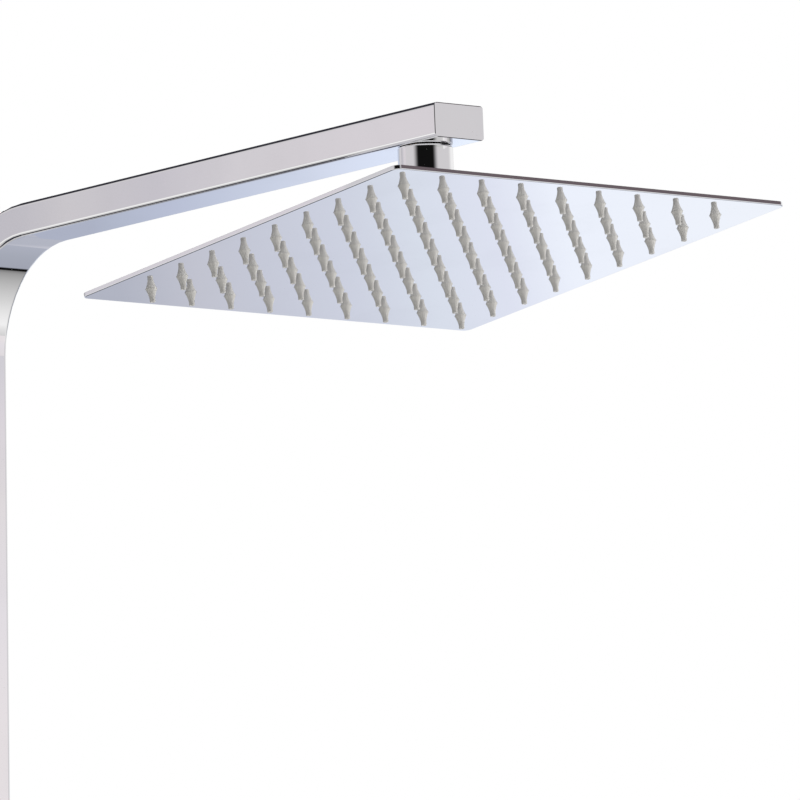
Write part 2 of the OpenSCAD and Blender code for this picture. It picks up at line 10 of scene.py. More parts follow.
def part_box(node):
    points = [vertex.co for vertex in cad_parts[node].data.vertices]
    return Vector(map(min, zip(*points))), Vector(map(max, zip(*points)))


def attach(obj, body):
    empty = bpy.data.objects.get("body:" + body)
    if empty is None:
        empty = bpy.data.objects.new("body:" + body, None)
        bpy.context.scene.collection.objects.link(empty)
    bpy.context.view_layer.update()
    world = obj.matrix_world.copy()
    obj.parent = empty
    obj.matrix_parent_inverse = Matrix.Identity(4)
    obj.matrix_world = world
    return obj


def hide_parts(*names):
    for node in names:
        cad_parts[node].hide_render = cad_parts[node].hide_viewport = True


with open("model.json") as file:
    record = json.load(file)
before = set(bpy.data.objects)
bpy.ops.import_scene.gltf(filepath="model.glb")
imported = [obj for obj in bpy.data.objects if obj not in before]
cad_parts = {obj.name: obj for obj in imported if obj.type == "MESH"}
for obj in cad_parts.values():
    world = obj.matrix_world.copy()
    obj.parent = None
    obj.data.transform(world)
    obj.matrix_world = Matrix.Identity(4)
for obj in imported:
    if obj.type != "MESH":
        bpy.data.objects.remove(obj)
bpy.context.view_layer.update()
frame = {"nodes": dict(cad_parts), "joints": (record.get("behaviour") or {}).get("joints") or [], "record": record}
nodes = frame["nodes"]

MM = 0.001
deg = math.radians


def joint(name):
    """A joint's row in the frame."""
    return next(j for j in frame["joints"] if j["name"] == name)


def axis_frame(name):
    """The frame at a joint of the ball: its +Z is the joint's axis and its X stays level."""
    row = joint(name)
    axis = Vector(row["axis"])
    turn = Matrix.Rotation(-math.atan2(axis.y, axis.z), 4, "X")
    return Matrix.Translation(row["pos_m"]) @ turn


BALL = Vector(joint("swivel_spin")["pos_m"])
HEAD = axis_frame("head_twist")
ARM = axis_frame("swivel_spin")
FACE_BELOW_BALL = 24 * MM  # from the ball's centre to the head's face, along the head's axis

# ---------------------------------------------------------------- camera

CAM_AZIMUTH = deg(-39.61)
CAM_ELEVATION = deg(-6.504)
CAM_ROLL = deg(-0.758)
CAM_DISTANCE = 6.0
CAM_SIDE = -13.97 * MM     # the aim point beside and below the head's centre
CAM_RISE = -72.68 * MM
CAM_LENS = 544.0
CAM_SENSOR = 36.0
CAM_NEAR = 0.1
CAM_FAR = 200.0


def camera_axes():
    """Right, up and back of the camera, with its roll."""
    a, e, r = CAM_AZIMUTH, CAM_ELEVATION, CAM_ROLL
    back = Vector((math.sin(a) * math.cos(e), -math.cos(a) * math.cos(e), math.sin(e)))
    right = Vector((math.cos(a), math.sin(a), 0))
    up = back.cross(right)
    return (right * math.cos(r) + up * math.sin(r),
            up * math.cos(r) - right * math.sin(r), back)


def make_camera():
    data = bpy.data.cameras.new("camera")
    data.lens = CAM_LENS
    data.sensor_width = CAM_SENSOR
    data.clip_start = CAM_NEAR
    data.clip_end = CAM_FAR
    cam = bpy.data.objects.new("camera", data)
    bpy.context.scene.collection.objects.link(cam)
    right, up, back = camera_axes()
    below_ball = BALL - Vector((0, 0, FACE_BELOW_BALL))
    place = below_ball + right * CAM_SIDE + up * CAM_RISE + back * CAM_DISTANCE
    turn = Matrix((right, up, back)).transposed().to_4x4()
    cam.matrix_world = Matrix.Translation(place) @ turn
    bpy.context.scene.camera = cam


make_camera()

# ---------------------------------------------------------------- node helpers


class Tree:
    """A short way to add and link shader nodes."""

    def __init__(self, tree):
        self.tree = tree
        self.tree.nodes.clear()

    def add(self, kind, settings=None, **inputs):
        node = self.tree.nodes.new(kind)
        for key, value in (settings or {}).items():
            setattr(node, key, value)
        for key, value in inputs.items():
            self.feed(node.inputs[key.replace("_", " ")], value)
        return node

    def feed(self, socket, value):
        if isinstance(value, bpy.types.NodeSocket):
            self.tree.links.new(value, socket)
        else:
            socket.default_value = value

    def math(self, operation, a, b=0.0):
        node = self.add("ShaderNodeMath", {"operation": operation})
        self.feed(node.inputs[0], a)
        self.feed(node.inputs[1], b)
        return node.outputs[0]

    def remap(self, value, low, high, to_low=0.0, to_high=1.0, smooth=False):
        node = self.tree.nodes.new("ShaderNodeMapRange")
        node.interpolation_type = "SMOOTHSTEP" if smooth else "LINEAR"
        for i, v in enumerate((value, low, high, to_low, to_high)):
            self.feed(node.inputs[i], v)
        return node.outputs[0]

    def window(self, value, low, high, soft):
        """1 between low and high and 0 outside, with soft edges."""
        a = self.remap(value, low - soft, low + soft, 0.0, 1.0, smooth=True)
        b = self.remap(value, high - soft, high + soft, 1.0, 0.0, smooth=True)
        return self.math("MULTIPLY", a, b)

    def mix(self, factor, a, b):
        node = self.tree.nodes.new("ShaderNodeMix")
        node.data_type = "RGBA"
        self.feed(node.inputs[0], factor)
        self.feed(node.inputs[6], a)
        self.feed(node.inputs[7], b)
        return node.outputs[2]

    def ramp(self, value, stops):
        """A colour ramp through (place, colour) stops."""
        node = self.add("ShaderNodeValToRGB", Fac=value)
        points = node.color_ramp.elements
        for i, (place, colour) in enumerate(stops):
            point = points[i] if i < len(points) else points.new(place)
            point.position = place
            point.color = colour
        return node.outputs[0]

    def mix_shaders(self, factor, a, b):
        node = self.tree.nodes.new("ShaderNodeMixShader")
        for i, v in enumerate((factor, a, b)):
            self.feed(node.inputs[i], v)
        return node.outputs[0]


def grey(value):
    """An opaque grey."""
    return (value, value, value, 1)


# ---------------------------------------------------------------- studio

BACKDROP = grey(1.0)

# below the horizon at the right, from the side away from the wall to the wall side: white that
# fades to dark grey, a thin black seam, then blue-grey
UNDER_TONES = [
    (0.0, grey(0.66)), (0.04, grey(0.94)), (0.19, grey(0.70)), (0.39, grey(0.46)),
    (0.47, grey(0.34)), (0.502, grey(0.22)), (0.510, grey(0.003)), (0.534, grey(0.003)),
    (0.544, (0.38, 0.40, 0.475, 1)), (0.70, (0.40, 0.425, 0.50, 1)),
    (0.86, (0.44, 0.465, 0.55, 1)), (1.0, (0.45, 0.485, 0.60, 1)),
]
UNDER_REACH = 0.78         # how far the tones reach each way along the column's own Y


def sky_tones(t, around, rise):
    """The studio's softboxes and dark gaps, by the turn round the object and the rise."""
    width = t.math("ABSOLUTE", around)

    def zone(turn, turn_low, turn_high, rise_low, rise_high, soft=6, rise_soft=0.03):
        """A patch of the studio between two turns in degrees and two rises."""
        return t.math("MULTIPLY", t.window(turn, deg(turn_low), deg(turn_high), deg(soft)),
                      t.window(rise, rise_low, rise_high, rise_soft))

    sky = t.mix(t.remap(rise, 0.35, 0.75, smooth=True), grey(0.62), grey(0.80))
    # a level ring of soft light, a brighter wall behind at the right, a dark patch high at the right
    sky = t.mix(zone(width, -30, 210, -0.06, 0.42, rise_soft=0.05), sky, (0.655, 0.64, 0.66, 1))
    sky = t.mix(zone(around, 122, 172, -0.1, 0.5, soft=14), sky, grey(0.91))
    sky = t.mix(zone(around, 58, 112, 0.27, 0.60, rise_soft=0.02), sky, (0.15, 0.12, 0.13, 1))
    # the dark room behind the camera, a dark gap behind at the left and a grey one beside it
    sky = t.mix(zone(width, -60, 43, -0.2, 0.45, soft=13), sky, grey(0.006))
    sky = t.mix(zone(around, -200, -142, 0.02, 0.5, soft=5), sky, (0.012, 0.012, 0.022, 1))
    sky = t.mix(zone(around, 172, 200, 0.02, 0.5, soft=3), sky, grey(0.4))
    # dark bands high behind and low at the left, and a bright strip at the left
    sky = t.mix(zone(width, 90, 200, 0.45, 0.80), sky, (0.035, 0.034, 0.045, 1))
    sky = t.mix(zone(around, -176, -98, -0.95, -0.57), sky, (0.03, 0.03, 0.045, 1))
    sky = t.mix(zone(around, -128, -60, -0.34, -0.06, rise_soft=0.02), sky, grey(0.97))
    # bluish light from below and behind the object
    return t.mix(zone(width, 133, 210, -0.56, 0.0), sky, (0.60, 0.66, 0.80, 1))


def make_world():
    """White behind the object for the camera, and softboxes with dark gaps for reflections."""
    world = bpy.data.worlds.new("studio")
    world.use_nodes = True
    bpy.context.scene.world = world
    t = Tree(world.node_tree)
    way = t.add("ShaderNodeTexCoord").outputs["Generated"]
    beside, wall_way, _ = t.add("ShaderNodeSeparateXYZ", Vector=way).outputs
    # x across and y away from the first camera, both level, and z up
    turned = t.add("ShaderNodeVectorRotate", {"rotation_type": "Z_AXIS"}, Vector=way,
                   Angle=-CAM_AZIMUTH).outputs[0]
    across, away, rise = t.add("ShaderNodeSeparateXYZ", Vector=turned).outputs
    # the turn round the object: 0 towards the first camera, positive to its right
    around = t.math("ARCTAN2", across, t.math("MULTIPLY", away, -1.0))
    under = t.math("MULTIPLY", t.remap(rise, -0.10, -0.02, 1.0, 0.0, smooth=True),
                   t.remap(beside, 0.42, 0.55, smooth=True))
    under_tone = t.ramp(t.remap(wall_way, -UNDER_REACH, UNDER_REACH), UNDER_TONES)
    tones = t.mix(under, sky_tones(t, around, rise), under_tone)
    studio = t.add("ShaderNodeBackground", Color=tones, Strength=1.0).outputs[0]
    plain = t.add("ShaderNodeBackground", Color=BACKDROP, Strength=1.0).outputs[0]
    seen = t.add("ShaderNodeLightPath").outputs["Is Camera Ray"]
    t.add("ShaderNodeOutputWorld", Surface=t.mix_shaders(seen, studio, plain))


FLOOR_Z = -1.1             # well below the column, which hangs on a wall
FLOOR_HALF = 60.0


def flat_sheet(name, corners):
    """A sheet with four corners, linked to the scene."""
    mesh = bpy.data.meshes.new(name)
    mesh.from_pydata(corners, [], [(0, 1, 2, 3)])
    sheet = bpy.data.objects.new(name, mesh)
    bpy.context.scene.collection.objects.link(sheet)
    return sheet


def make_floor():
    """A pale floor that can't be seen from below or in the chrome."""
    s = FLOOR_HALF
    floor = flat_sheet("floor", [(-s, -s, FLOOR_Z), (s, -s, FLOOR_Z), (s, s, FLOOR_Z), (-s, s, FLOOR_Z)])
    mat = bpy.data.materials.new("pale_floor")
    mat.use_nodes = True
    t = Tree(mat.node_tree)
    place = t.add("ShaderNodeTexCoord").outputs["Object"]
    speck = t.add("ShaderNodeTexNoise", Vector=place, Scale=3.0, Detail=4.0).outputs[0]
    tone = t.mix(speck, grey(0.86), grey(0.92))
    board = t.add("ShaderNodeBsdfPrincipled", Base_Color=tone, Roughness=0.7).outputs[0]
    clear = t.add("ShaderNodeBsdfTransparent").outputs[0]
    under = t.add("ShaderNodeNewGeometry").outputs["Backfacing"]
    t.add("ShaderNodeOutputMaterial", Surface=t.mix_shaders(under, board, clear))
    floor.data.materials.append(mat)
    floor.visible_glossy = False


def reflection(normal):
    """Where a flat mirror with this normal sends the first camera's rays."""
    look = -camera_axes()[2]
    return look - 2 * look.dot(normal) * normal


def card_material(name, low, high, along, stops):
    """A glow with a colour ramp between two points, along the direction from one to the other."""
    mat = bpy.data.materials.new(name)
    mat.use_nodes = True
    t = Tree(mat.node_tree)
    place = t.add("ShaderNodeTexCoord").outputs["Object"]
    reached = t.add("ShaderNodeVectorMath", {"operation": "DOT_PRODUCT"})
    t.feed(reached.inputs[0], place)
    t.feed(reached.inputs[1], tuple(along))
    share = t.remap(reached.outputs["Value"], low.dot(along), high.dot(along))
    glow = t.add("ShaderNodeEmission", Color=t.ramp(share, stops), Strength=1.0).outputs[0]
    t.add("ShaderNodeOutputMaterial", Surface=glow)
    return mat


def make_card(name, centre, normal, reach, half_width, half_height, stops, upright=False):
    """A glowing card that only reflections see, with a colour ramp from its left to its right,
    or from its foot to its top."""
    way = reflection(normal)
    level = Vector((-way.y, way.x, 0)).normalized()
    if level.dot(camera_axes()[0]) < 0:
        level.negate()
    rise = Vector((0, 0, half_height))
    middle = centre + way * reach
    side = level * half_width
    card = flat_sheet(name, [middle - side - rise, middle + side - rise, middle + side + rise,
                             middle - side + rise])
    half = rise if upright else side
    card.data.materials.append(
        card_material(name, middle - half, middle + half, half.normalized(), stops))
    for ray in ("camera", "diffuse", "transmission", "shadow", "volume_scatter"):
        setattr(card, "visible_" + ray, False)


ARM_MIDDLE = Vector((0, 0.16, 0.03))     # middle of the seen arm's underside, in the arm's frame
RISER_FRONT = -62.5 * MM   # the front side of the riser, along Y
RISER_SEEN = 0.79          # the middle and half height of the riser's seen part
RISER_HALF = 0.16
FACE_TONES = [
    (0.20, (0.475, 0.495, 0.575, 1)), (0.278, (0.58, 0.59, 0.665, 1)),
    (0.33, (0.60, 0.62, 0.71, 1)), (0.43, (0.66, 0.69, 0.79, 1)),
    (0.50, (0.735, 0.78, 0.87, 1)), (0.576, (0.785, 0.815, 0.925, 1)),
    (0.642, (0.905, 0.945, 1.03, 1)), (1.0, (0.95, 0.98, 1.02, 1)),
]
ARM_TONES = [
    (0.0, (0.43, 0.46, 0.57, 1)), (0.31, (0.43, 0.465, 0.58, 1)),
    (0.346, (0.465, 0.51, 0.635, 1)), (0.403, (0.50, 0.545, 0.69, 1)),
    (0.479, (0.57, 0.622, 0.765, 1)), (0.574, (0.664, 0.72, 0.865, 1)),
    (0.655, (0.74, 0.81, 0.975, 1)), (0.80, (0.92, 1.0, 1.14, 1)), (1.0, (1.1, 1.15, 1.2, 1)),
]
SIDE_TONES = [
    (0.0, (0.72, 0.68, 0.715, 1)), (0.33, (0.71, 0.675, 0.71, 1)),
    (0.47, (0.685, 0.66, 0.695, 1)), (0.55, (0.60, 0.58, 0.63, 1)),
    (0.64, (0.63, 0.61, 0.64, 1)), (0.68, (0.57, 0.555, 0.60, 1)), (1.0, (0.5, 0.48, 0.52, 1)),
]
RISER_TONES = [
    (0.19, (0.842, 0.80, 0.817, 1)), (0.41, (0.81, 0.778, 0.817, 1)),
    (0.62, (0.786, 0.754, 0.77, 1)), (0.78, (0.746, 0.708, 0.754, 1)),
    (0.88, (0.678, 0.663, 0.708, 1)),
]


def make_cards():
    """Cards that shade the head's face, the arm's underside, its side, and the riser's front."""
    down = Vector((0, 0, -1))
    make_card("face_card", HEAD @ (down * FACE_BELOW_BALL), HEAD.to_3x3() @ down, reach=1.2,
              half_width=0.30, half_height=0.17, stops=FACE_TONES)
    make_card("arm_card", ARM @ ARM_MIDDLE, ARM.to_3x3() @ down, reach=1.2,
              half_width=0.26, half_height=0.05, stops=ARM_TONES)
    make_card("side_card", ARM @ ARM_MIDDLE, Vector((-1, 0, 0)), reach=1.0,
              half_width=0.30, half_height=0.09, stops=SIDE_TONES)
    make_card("riser_card", Vector((0, RISER_FRONT, RISER_SEEN)), Vector((0, -1, 0)), reach=1.0,
              half_width=0.07, half_height=RISER_HALF, stops=RISER_TONES, upright=True)


def make_light(name, place, aim, size, power):
    """A soft round light that chrome doesn't mirror."""
    data = bpy.data.lights.new(name, "AREA")
    data.shape = "DISK"
    data.size = size
    data.energy = power
    light = bpy.data.objects.new(name, data)
    bpy.context.scene.collection.objects.link(light)
    light.location = place
    light.rotation_euler = (Vector(aim) - Vector(place)).to_track_quat("-Z", "Y").to_euler()
    light.visible_glossy = False


make_world()
make_floor()
make_cards()
make_light("key", place=(-2.5, -3.0, 3.2), aim=(0, -0.2, 0.6), size=2.0, power=60)
make_light("fill", place=(2.6, -2.0, 0.4), aim=(0, -0.4, 0.9), size=1.2, power=60)
make_light("low", place=(-0.2, -2.6, -0.6), aim=(0, -0.4, 0.9), size=1.5, power=22)

# ---------------------------------------------------------------- materials


def shader(name, **inputs):
    """A material with one principled shader: its tree and the shader node."""
    mat = bpy.data.materials.new(name)
    mat.use_nodes = True
    t = Tree(mat.node_tree)
    bsdf = t.add("ShaderNodeBsdfPrincipled", **inputs)
    t.add("ShaderNodeOutputMaterial", Surface=bsdf.outputs[0])
    return mat, t, bsdf


def object_noise(t, scale, detail, stretch=None):
    """Noise fixed to the object, its scale in waves per metre."""
    place = t.add("ShaderNodeTexCoord").outputs["Object"]
    if stretch:
        place = t.add("ShaderNodeMapping", Vector=place, Scale=stretch).outputs[0]
    return t.add("ShaderNodeTexNoise", Vector=place, Scale=scale, Detail=detail).outputs[0]


def bump(t, bsdf, height, strength, distance):
    """Raises the surface by a height between 0 and 1, over a distance in metres."""
    node = t.add("ShaderNodeBump", Height=height, Strength=strength, Distance=distance)
    t.feed(bsdf.inputs["Normal"], node.outputs[0])


POLISH = 0.025             # roughness of clean plate, to which wipe marks and specks add
WIPED_TONE = 0.94          # how much of its tone the plate keeps in a wipe mark


def chrome(name, tint, smear=0.05):
    """Polished plate with faint wipe marks, pin-point specks and a barely uneven surface."""
    mat, t, bsdf = shader(name, Metallic=1.0)
    cloud = object_noise(t, scale=18.0, detail=4.0)
    wipe = object_noise(t, scale=60.0, detail=5.0, stretch=(1, 1, 0.15))
    marks = t.math("MULTIPLY", t.remap(cloud, 0.45, 0.75, smooth=True), wipe)
    speck = t.remap(object_noise(t, scale=900.0, detail=1.0), 0.76, 0.80, 0.0, 0.25, smooth=True)
    rough = t.math("ADD", t.remap(marks, 0.0, 1.0, POLISH, POLISH + smear), speck)
    t.feed(bsdf.inputs["Roughness"], rough)
    dull = tuple(part * WIPED_TONE for part in tint[:3]) + (1,)
    t.feed(bsdf.inputs["Base Color"], t.mix(marks, tint, dull))
    bump(t, bsdf, object_noise(t, scale=7.0, detail=1.0), strength=0.02, distance=0.6 * MM)
    return mat


def turned_brass():
    """Brass with fine turning rings and slight tarnish in patches."""
    mat, t, bsdf = shader("turned_brass", Metallic=1.0)
    tone = object_noise(t, scale=120.0, detail=4.0)
    bright = t.mix(tone, (0.72, 0.50, 0.20, 1), (0.86, 0.66, 0.33, 1))
    tarnish = t.remap(object_noise(t, scale=35.0, detail=5.0), 0.55, 0.75, 0.0, 0.5, smooth=True)
    t.feed(bsdf.inputs["Base Color"], t.mix(tarnish, bright, (0.42, 0.27, 0.11, 1)))
    t.feed(bsdf.inputs["Roughness"], t.remap(tone, 0.3, 0.7, 0.16, 0.34))
    rings = object_noise(t, scale=900.0, detail=2.0, stretch=(0.05, 0.05, 1))
    bump(t, bsdf, rings, strength=0.25, distance=0.1 * MM)
    return mat


def satin_steel():
    """Rolled steel with a fine grain."""
    mat, t, bsdf = shader("satin_steel", Metallic=1.0, Anisotropic=0.4)
    grain = object_noise(t, scale=700.0, detail=3.0, stretch=(1, 1, 0.04))
    t.feed(bsdf.inputs["Base Color"], t.mix(grain, (0.50, 0.50, 0.51, 1), (0.68, 0.68, 0.69, 1)))
    t.feed(bsdf.inputs["Roughness"], t.remap(grain, 0.3, 0.7, 0.24, 0.42))
    bump(t, bsdf, grain, strength=0.15, distance=0.1 * MM)
    return mat


def rubber(name, dark, light, rough):
    """Moulded rubber with a matt, slightly uneven skin."""
    mat, t, bsdf = shader(name)
    tone = object_noise(t, scale=300.0, detail=4.0)
    t.feed(bsdf.inputs["Base Color"], t.mix(tone, dark, light))
    t.feed(bsdf.inputs["Roughness"], t.remap(tone, 0.3, 0.7, rough - 0.08, rough + 0.08))
    bump(t, bsdf, tone, strength=0.3, distance=0.2 * MM)
    return mat


def silicone():
    """Soft grey silicone with a faintly dusty skin."""
    mat, t, bsdf = shader("silicone", IOR=1.41, Sheen_Weight=0.15)
    tone = object_noise(t, scale=150.0, detail=3.0)
    base = t.mix(tone, (0.43, 0.42, 0.395, 1), (0.52, 0.505, 0.475, 1))
    dust = t.remap(object_noise(t, scale=700.0, detail=4.0), 0.52, 0.72, 0.0, 0.35, smooth=True)
    t.feed(bsdf.inputs["Base Color"], t.mix(dust, base, (0.60, 0.585, 0.56, 1)))
    t.feed(bsdf.inputs["Roughness"], t.remap(tone, 0.3, 0.7, 0.26, 0.40))
    bump(t, bsdf, tone, strength=0.15, distance=0.1 * MM)
    return mat


def plastic(name, dark, light, rough):
    """Moulded plastic with a fine grain."""
    mat, t, bsdf = shader(name, IOR=1.47)
    tone = object_noise(t, scale=90.0, detail=4.0)
    t.feed(bsdf.inputs["Base Color"], t.mix(tone, dark, light))
    t.feed(bsdf.inputs["Roughness"], t.remap(tone, 0.3, 0.7, rough - 0.06, rough + 0.06))
    bump(t, bsdf, object_noise(t, scale=1500.0, detail=2.0), strength=0.1, distance=0.05 * MM)
    return mat


SLOT_MATERIALS = {
    "chrome": chrome("chrome", (0.93, 0.925, 0.93, 1)),
    "polished_steel": chrome("polished_steel", (0.90, 0.905, 0.93, 1), smear=0.03),
    "silicone": silicone(),
    "brass": turned_brass(),
    "plain_steel": satin_steel(),
    "seal_rubber": rubber("seal_rubber", grey(0.012), grey(0.03), 0.6),
    "white_plastic": plastic("white_plastic", (0.74, 0.73, 0.70, 1), (0.82, 0.81, 0.79, 1), 0.4),
    "blue_plastic": plastic("blue_plastic", (0.02, 0.08, 0.36, 1), (0.03, 0.12, 0.46, 1), 0.35),
    "orange_plastic": plastic("orange_plastic", (0.62, 0.20, 0.02, 1), (0.75, 0.28, 0.04, 1), 0.35),
}
SLOT_OF = {row["node"]: row["material_slot"] for row in frame["record"]["subparts"]}
BODIES = frame["record"]["behaviour"]["bodies"]
BODY_OF = {node: body for body, names in BODIES.items() for node in names}


def dress_cad_nodes():
    """Gives every CAD node the material of its record slot."""
    for name, slot in SLOT_OF.items():
        mesh = nodes[name].data
        mesh.materials.clear()
        mesh.materials.append(SLOT_MATERIALS[slot])


dress_cad_nodes()

# ---------------------------------------------------------------- edges

EDGE_ANGLE = deg(40)       # edges sharper than this are broken
EDGE_BREAKS = {   # how far each machined or folded edge is broken, in mm
    "back_plate": 0.15, "head_neck": 0.3,
    "diverter_body": 0.5, "diverter_knob": 0.5, "slider_body": 0.5, "clamp_knob": 0.3,
    "clamp_knob_cap": 0.3, "handset_cradle": 0.5, "riser_clip": 0.5, "upper_wall_cover": 0.5,
    "lower_wall_cover": 0.5, "cartridge_nut": 0.3, "cradle_pivot_bolt": 0.4, "pivot_nut": 0.3,
    "upper_wall_plate": 0.3, "lower_wall_plate": 0.3, "index_cap": 0.3, "riser_foot": 0.3,
}


def break_edges(name, width):
    """Bevels the sharp edges of a CAD node."""
    piece = nodes[name]
    bevel = piece.modifiers.new("edge_break", "BEVEL")
    bevel.width = width * MM
    bevel.segments = 2
    bevel.limit_method = "ANGLE"
    bevel.angle_limit = EDGE_ANGLE
    bevel.harden_normals = False


# ---------------------------------------------------------------- mesh pieces

WELD = 0.0005 * MM         # points closer than this are one
BOX_FACES = ((0, 1, 3, 2), (4, 6, 7, 5), (0, 4, 5, 1), (2, 3, 7, 6), (0, 2, 6, 4), (1, 5, 7, 3))


def node_box(name):
    """The lowest and highest corner of a CAD node, as vectors."""
    low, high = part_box(name)
    return Vector(low), Vector(high)


def new_piece(name, shape, slot, body, smooth_angle=35):
    """Makes a smooth-shaded mesh piece with a slot's material, riding on a body.
    Its triangles are flat sheets, so their borders with quads stay crisp."""
    mesh = bpy.data.meshes.new(name)
    mesh.from_pydata(shape.verts, [], shape.faces)
    mesh.validate()
    piece = bpy.data.objects.new(name, mesh)
    bpy.context.scene.collection.objects.link(piece)
    bm = bmesh.new()
    bm.from_mesh(mesh)
    bmesh.ops.remove_doubles(bm, verts=bm.verts, dist=WELD)
    bmesh.ops.recalc_face_normals(bm, faces=bm.faces)
    for face in bm.faces:
        face.smooth = True
    for edge in bm.edges:
        if len(edge.link_faces) == 2:
            sides = {len(face.verts) for face in edge.link_faces}
            edge.smooth = edge.calc_face_angle() < deg(smooth_angle) and len(sides) == 1
    bm.to_mesh(mesh)
    bm.free()
    mesh.materials.append(SLOT_MATERIALS[slot])
    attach(piece, body)
    return piece


class Shape:
    """Collects vertices and faces of a mesh made in several steps."""

    def __init__(self):
        self.verts, self.faces = [], []

    def rings(self, rings, closed=False):
        """Joins rings of points with quads. A closed shape joins its last ring to its first."""
        base, steps = len(self.verts), len(rings[0])
        for ring in rings:
            self.verts.extend(ring)
        count = len(rings) if closed else len(rings) - 1
        for i in range(count):
            j = (i + 1) % len(rings)
            for k in range(steps):
                m = (k + 1) % steps
                self.faces.append((base + i * steps + k, base + i * steps + m,
                                   base + j * steps + m, base + j * steps + k))
        return base

    def lathe(self, profile, place, steps=24, closed=False):
        """Turns a profile of (radius, height) points round the Z axis of a placing matrix."""
        turns = [2 * math.pi * k / steps for k in range(steps)]
        self.rings([[place @ Vector((r * math.cos(a), r * math.sin(a), z)) for a in turns]
                    for r, z in profile], closed)

    def box(self, low, high, place):
        """Adds a box between two corners, in the frame of a placing matrix."""
        base = len(self.verts)
        for x in (low[0], high[0]):
            for y in (low[1], high[1]):
                for z in (low[2], high[2]):
                    self.verts.append(place @ Vector((x, y, z)))
        self.faces.extend(tuple(base + i for i in face) for face in BOX_FACES)


HEAD_HALF = 125 * MM
HEAD_CORNER = 4 * MM
HEAD_EDGE = 2.2 * MM
SHEET = 0.5 * MM
ROLL = 0.5 * MM            # radius of the face sheet's folded edge
ROLL_STEPS = 8
CORNER_STEPS = 12
HOLE_RADIUS = 3.05 * MM
HOLE_STEPS = 32
MAT_THICK = 0.7 * MM
NOZZLE_PITCH = 25 * MM
NOZZLE_ROWS = 9
NOZZLE_LONG = 6.75 * MM
NOZZLE_ROOT = 2.95 * MM    # radii of a nozzle's foot, tip and hole
NOZZLE_TIP = 1.42 * MM
NOZZLE_HOLE = 0.55 * MM
NOZZLE_COLLAR = 0.35 * MM  # height of the foot below the face, and how far the cone steps in there
NOZZLE_STEP = 0.12 * MM
NOZZLE_BOW = 0.16 * MM     # how far the cone's side is hollow
NOZZLE_NOSE = 2 * MM       # length of the nearly straight nose below the cone
NOZZLE_LIP = 0.25 * MM     # rounding of the tip's outer edge
NOZZLE_MOUTH = 0.2 * MM    # bevel at both ends of the hole
NOZZLE_DEEP = 5 * MM       # depth of the hole, which ends in a cone, and the radius where that stops
NOZZLE_END = 0.02 * MM
CONE_STEPS = 6


def nozzle_profile():
    """Outline of one nozzle, from the mat down the outside, round the tip and up its hole."""
    cone_root = NOZZLE_ROOT - NOZZLE_STEP
    cone_long = NOZZLE_LONG - NOZZLE_NOSE - NOZZLE_COLLAR
    outline = [(NOZZLE_ROOT, SHEET), (NOZZLE_ROOT, -0.6 * NOZZLE_COLLAR), (cone_root, -NOZZLE_COLLAR)]
    for i in range(1, CONE_STEPS + 1):
        share = i / CONE_STEPS
        bow = NOZZLE_BOW * math.sin(math.pi * share)
        outline.append((cone_root + (NOZZLE_TIP - cone_root) * share - bow,
                        -NOZZLE_COLLAR - cone_long * share))
    tip = -NOZZLE_LONG
    return outline + [
        (NOZZLE_TIP, tip + NOZZLE_LIP), (NOZZLE_TIP - 0.3 * NOZZLE_LIP, tip + 0.3 * NOZZLE_LIP),
        (NOZZLE_TIP - NOZZLE_LIP, tip), (NOZZLE_HOLE + NOZZLE_MOUTH, tip),
        (NOZZLE_HOLE, tip + NOZZLE_MOUTH), (NOZZLE_HOLE, tip + NOZZLE_DEEP),
        (NOZZLE_END, tip + NOZZLE_DEEP + NOZZLE_MOUTH)]


def grid_places():
    """The middles of the nozzles on the head's face."""
    first = -(NOZZLE_ROWS - 1) / 2
    return [Vector(((first + i) * NOZZLE_PITCH, (first + j) * NOZZLE_PITCH, 0))
            for i in range(NOZZLE_ROWS) for j in range(NOZZLE_ROWS)]


def head_outline(inset, height):
    """Points round the head's square with its round corners, moved in by an inset."""
    middle, radius = HEAD_HALF - HEAD_CORNER, HEAD_CORNER - inset
    points = []
    for corner, (x, y) in enumerate(((1, 1), (-1, 1), (-1, -1), (1, -1))):
        for k in range(CORNER_STEPS + 1):
            a = math.pi / 2 * (corner + k / CORNER_STEPS)
            points.append(Vector((x * middle + radius * math.cos(a),
                                  y * middle + radius * math.sin(a), height)))
    return points


def hole_ring(place, height):
    """Points round one nozzle's hole in the sheet."""
    turns = [2 * math.pi * k / HOLE_STEPS for k in range(HOLE_STEPS)]
    return [place + Vector((HOLE_RADIUS * math.cos(a), HOLE_RADIUS * math.sin(a), height))
            for a in turns]


def add_pierced_sheet(shape, inset, height, place):
    """Adds the head's flat sheet at one height, with a round hole for every nozzle."""
    bm = bmesh.new()
    edges = []
    for loop in [head_outline(inset, height)] + [hole_ring(spot, height) for spot in grid_places()]:
        verts = [bm.verts.new(point) for point in loop]
        edges += [bm.edges.new((verts[i - 1], verts[i])) for i in range(len(verts))]
    bmesh.ops.triangle_fill(bm, use_beauty=True, edges=edges)
    bm.verts.index_update()
    base = len(shape.verts)
    shape.verts.extend(place @ vert.co for vert in bm.verts)
    shape.faces.extend(tuple(base + vert.index for vert in face.verts) for face in bm.faces)
    bm.free()


